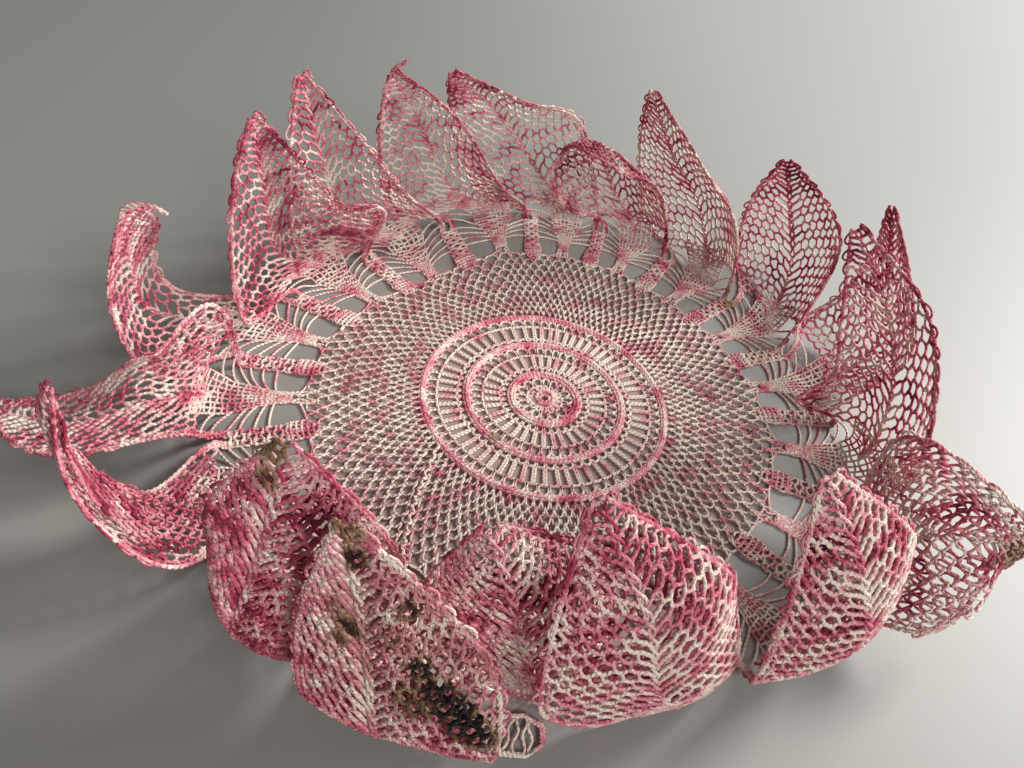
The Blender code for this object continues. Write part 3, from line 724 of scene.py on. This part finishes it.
class LeafThreads(Threads):
    """The threads of one leaf and of its part of the rim. side is -1 or 1 for the half they lie in."""

    def __init__(self, index):
        surface, self.length = panel_surface(index)
        super().__init__(surface, sides=5)
        self.index, self.tint = index, LEAF_DYE_AND_SHADE[LEAVES[index].azimuth]
        self.top = LEAF_BASE_RADIUS + self.length
        self.widths = {side: panel_widths(surface, self.length, side) for side in (-1, 1)}
        self.uneven = np.random.default_rng(100 + index)
        self.row_starts = [FIRST_ROW]
        while self.row_starts[-1] < self.top - 3.0:
            self.row_starts.append(self.row_starts[-1] + self.pitch(self.row_starts[-1], ROW_PITCHES))

    def pitch(self, reach, pitches):
        """Stitches get closer towards the tip, and in a leaf that is gathered."""
        return self.tint.gather * float(np.interp((reach - LEAF_BASE_RADIUS) / self.length, PITCH_PLACES, pitches))

    def dyed(self, reach, along, row, base):
        """The dye at a place of the leaf: deeper towards the tip by the leaf's own tint."""
        climb = np.clip((reach - self.top + 0.34 * self.length) / (0.28 * self.length), 0.0, 1.0)
        return base + (self.tint.tip - self.tint.body) * climb + 0.38 * flecks(along, row, self.index * 2.7)

    def row_path(self, start, side, post, pitch):
        """One row's chain from the midrib to the margin, drawn up at its own posts, and how far out it is."""
        x = np.arange(0.0, WIDEST_HALF, ROW_STEP)
        taper = min(1.0, (self.top - start) / BARB_TAPER)
        reach = start + BARB_RISE * taper * (1.0 - np.exp(-x / BARB_REACH))
        across = x / np.interp(reach, *self.widths[side])
        wave = ROW_SWAY * np.cos(2 * math.pi * (x - post) / pitch) * np.clip((x - 2.0) / 3.0, 0, 1)
        keep = across < 1.0
        end = np.array([[reach[keep][-1] + 0.3, 1.0]])
        path = np.concatenate([np.stack([reach + wave, across], 1)[keep], end])
        return path * (1.0, side), np.append(x[keep], x[keep][-1] + 0.85)

    def add_rows(self, side):
        """Rows of chain, with posts from each to the next that stand like bricks."""
        uneven, body, rows = self.uneven, self.tint.body, []
        for row, start in enumerate(self.row_starts):
            pitch = self.pitch(start, CELL_PITCHES)
            post = FIRST_POST + (row % 2) * pitch / 2 + uneven.uniform(-0.35, 0.35)
            rows.append((post, pitch, *self.row_path(start + uneven.uniform(-0.3, 0.3), side, post, pitch)))
        for row, (post, pitch, path, x) in enumerate(rows):
            knots = 0.5 + 0.5 * np.cos(4 * math.pi * (x - post) / pitch)
            self.add(path, LEAF_THREAD + KNOT * knots, self.dyed(path[:, 0], x, row + side * 0.4, body))
            if row + 1 == len(rows):
                continue
            above, x_above = rows[row + 1][2:]
            while post < min(x[-1], x_above[-1]) - 0.8:
                low_place = [np.interp(post, x, path[:, k]) for k in (0, 1)]
                high_x = post + uneven.uniform(-0.3, 0.5)
                high_place = [np.interp(high_x, x_above, above[:, k]) for k in (0, 1)]
                run = stitch(low_place, high_place, sway=uneven.uniform(-0.4, 0.4), scale=25.0, step=1.0)
                ends = np.abs(np.linspace(-1.0, 1.0, len(run))) ** 2
                dye = self.dyed(low_place[0], post, row + 0.5 + side * 0.4, body)
                self.add(run, LEAF_THREAD * 0.92 + 0.14 * ends, dye + uneven.uniform(-0.08, 0.08))
                post += pitch * uneven.uniform(0.94, 1.06)

    def add_fold(self, side):
        """The margin that is turned under a front leaf, which shows through its holes."""
        for row, start in enumerate(np.arange(FIRST_ROW, self.top - 8.0, FOLD_ROWS)):
            wide = float(np.interp(start, *self.widths[side]))
            x = np.arange(0.6, max(FOLD_SHARE * wide, 1.6), ROW_STEP)
            wave = 1.15 * np.cos(x * 2 * math.pi / 3.6 + row * math.pi)
            # The folded layer is dyed darker by the leaf's folded value, as painted shade for a layer lying
            # behind.
            self.add(np.stack([start + wave, side * x / wide], 1), FOLD_THREAD,
                     self.dyed(start, x, row * 0.6 + side, self.tint.body + self.tint.folded), lift=FOLD_DEPTH)

    def add_margin(self, side):
        """Two twisted cords on the edge, one chain inside its lower half, and loops outside the upper part."""
        uneven, widths, margin = self.uneven, self.widths[side], self.tint.margin
        reach = np.arange(LEAF_BASE_RADIUS - 2.0, self.top + 0.4, 0.9)
        wide = np.interp(reach, *widths)
        for strand in (0, 1):
            twist = reach * 2 * math.pi / CORD_TWIST + strand * math.pi
            dye = self.dyed(reach, reach * 0.6, side * 2.2, margin - 0.10)
            self.add(np.stack([reach, side * (1.0 - (0.3 + 0.36 * np.sin(twist)) / wide)], 1),
                     LEAF_THREAD * 0.95, dye + 0.10 * np.sin(reach / 5.0 + self.index),
                     lift=LEAF_THREAD + 0.2 * np.cos(twist))
        inside = 1.9 + 0.35 * np.sin(reach * 2 * math.pi / 2.9)
        low_part = reach < LEAF_BASE_RADIUS + self.length * 0.5
        self.add(np.stack([reach, side * (1.0 - inside / wide)], 1)[low_part], LEAF_THREAD * 0.85,
                 self.dyed(reach, reach * 0.8, side + 0.4, margin)[low_part])
        t = np.linspace(0.0, 1.0, 6)
        rise = LEAF_BASE_RADIUS + self.length * PICOT_START
        while rise < self.top - 3.0:
            span = uneven.uniform(3.0, 5.2)
            bulge = uneven.uniform(0.7, 1.9) * np.sin(t * math.pi) ** 0.7
            reach = rise + span * t
            self.add(np.stack([reach, side * (1.0 + bulge / np.interp(reach, *widths))], 1), LEAF_THREAD * 0.8,
                     self.dyed(reach, reach * 0.8, side + 0.7, margin))
            rise += span + uneven.uniform(0.0, 2.0)

    def add_rim_half(self, side):
        """Arched chains from the fan to the column, strands up the column's side, and arches under the fan."""
        for number, rung in enumerate(RUNGS):
            inner = np.interp(rung.inner_radius, *FAN_WIDTHS) / HALF_DEGREES
            outer = column_edge(rung.outer_radius) + 0.03
            self.add(stitch((rung.inner_radius, side * inner), (rung.outer_radius, side * outer),
                            rise=rung.top + self.uneven.uniform(-0.5, 0.5),
                            scale=rung.outer_radius * math.radians(HALF_DEGREES)), RIM_CHAIN,
                     0.36 + 0.2 * flecks(number * 9.0, number, self.index + side))
        reach = np.arange(LEAF_BASE_RADIUS - 3.0, 122.0, 0.85)
        edge_here = column_edge(reach)
        for column in np.linspace(0.0, 1.0, 3):
            wave = 0.03 * np.sin(reach * 2 * math.pi / 5.0 + column * 9.4)
            self.add(np.stack([reach, side * (edge_here + (1.0 - edge_here) * column * 0.96 + wave)], 1),
                     RIM_CHAIN, self.dyed(reach, reach, side + column, self.tint.body + 0.08))
        reach = np.arange(ARCH_REACHES[0], ARCH_REACHES[-1] + 0.1, 0.8)
        for arch in ARCHES:
            self.add(np.stack([reach, side * np.interp(reach, ARCH_REACHES, arch) / HALF_DEGREES], 1), 0.44,
                     0.36 + 0.2 * flecks(reach, 2.0 + side, self.index))

    def add_fan(self):
        """Long threads that spread from the net into the leaf, and the chains across them."""
        reach = np.arange(84.0, 122.0, 0.9)
        for strand in np.linspace(-1.0, 1.0, FAN_THREADS):
            self.add(np.stack([reach, strand * np.interp(reach, *FAN_WIDTHS) / HALF_DEGREES], 1), FAN_THREAD,
                     0.42 + 0.22 * flecks(reach, 3.0 + strand, self.index * 1.1))
        t = np.linspace(-1.0, 1.0, 11)
        for reach in np.concatenate([np.arange(84.6, 88.5, 0.9), np.arange(89.5, 121.0, 2.0)]):
            edge_here = np.interp(reach, *FAN_WIDTHS) / HALF_DEGREES
            self.add(np.stack([reach + 0.4 * np.cos(t * 6.0 + reach * 1.6), edge_here * t], 1), RIM_CHAIN,
                     (0.52 if reach < 88.5 else 0.40) + 0.2 * flecks(reach, 1.0, self.index * 1.7))

    def add_midrib(self):
        """Two cords that wind round each other from the foot to the tip."""
        reach = np.arange(FIRST_ROW, self.top - 1.0, 0.85)
        for strand in (0, 1):
            twist = reach * 2 * math.pi / RIB_TWIST + strand * math.pi
            self.add(np.stack([reach, 0.75 * np.sin(twist) / np.interp(reach, *self.widths[1])], 1),
                     LEAF_THREAD * 0.95, self.dyed(reach, reach * 0.7, 9.0, self.tint.body),
                     lift=LEAF_THREAD + 0.35 * np.cos(twist))

    def add_tip_curl(self, steps):
        """The end of the thread, which sticks out of the tip."""
        tip = leaf_points(self.index, np.array([0.995]), np.array([0.0]))[0]
        bend = np.linspace(0.0, 1.0, 16)
        steps = np.stack([np.interp(bend, np.linspace(0.0, 1.0, len(steps)), [step[k] for step in steps])
                          for k in range(3)], 1)
        for strand in (0.0, math.pi):
            turn = bend * 22.0 + strand
            twist = np.stack([0.0 * bend, 0.5 * np.cos(turn), 0.5 * np.sin(turn)], 1)
            self.add_free(tip + steps + twist * (1.0 - 0.5 * bend)[:, None], 0.5, self.tint.tip - 0.1)

    def add_loose_loop(self):
        """A loop of two twisted threads with chains across it, which lies on the table before the leaf."""
        bend = np.linspace(0.0, 1.0, 90)
        x, y = (np.interp(bend, np.linspace(0.0, 1.0, len(LOOSE_LOOP)), [point[k] for point in LOOSE_LOOP])
                for k in (0, 1))
        for strand in (0.0, math.pi):
            twist = bend * 150.0 + strand
            sway = 0.4 * np.cos(twist)
            self.add_free(np.stack([x + sway, y + sway, 1.1 + 0.35 * np.sin(twist)], 1), 0.50,
                          0.36 + 0.16 * np.sin(bend * 13.0))
        t = np.linspace(0.0, 1.0, 9)
        for start, end in LOOSE_LOOP_CHAINS:
            ends = [np.array([x[n], y[n], 0.9]) for n in (start, end)]
            sway = np.stack([0.5 * np.sin(t * 9.0 + start), 0.0 * t, 0.3 * np.sin(t * math.pi)], 1)
            self.add_free(ends[0] + (ends[1] - ends[0]) * t[:, None] + sway, 0.40, 0.36)


for index, leaf in enumerate(LEAVES):
    work = LeafThreads(index)
    for side in (-1, 1):
        work.add_rows(side)
        if work.tint.folded:
            work.add_fold(side)
        work.add_margin(side)
        work.add_rim_half(side)
    work.add_fan()
    work.add_midrib()
    if leaf.azimuth in TIP_CURLS:
        work.add_tip_curl(TIP_CURLS[leaf.azimuth])
    if leaf.azimuth == LOOSE_LOOP_LEAF:
        work.add_loose_loop()
    # A leaf is 56 mm wide and 125 mm long with its part of the rim; a folded one has its margin turned under.
    work.piece(f"leaf_{index + 1:02d}", flat=(0.056, 0.160 if work.tint.folded else 0.125),
               area=0.0066 if work.tint.folded else 0.0046, held="stretched", rests_on=["table"])
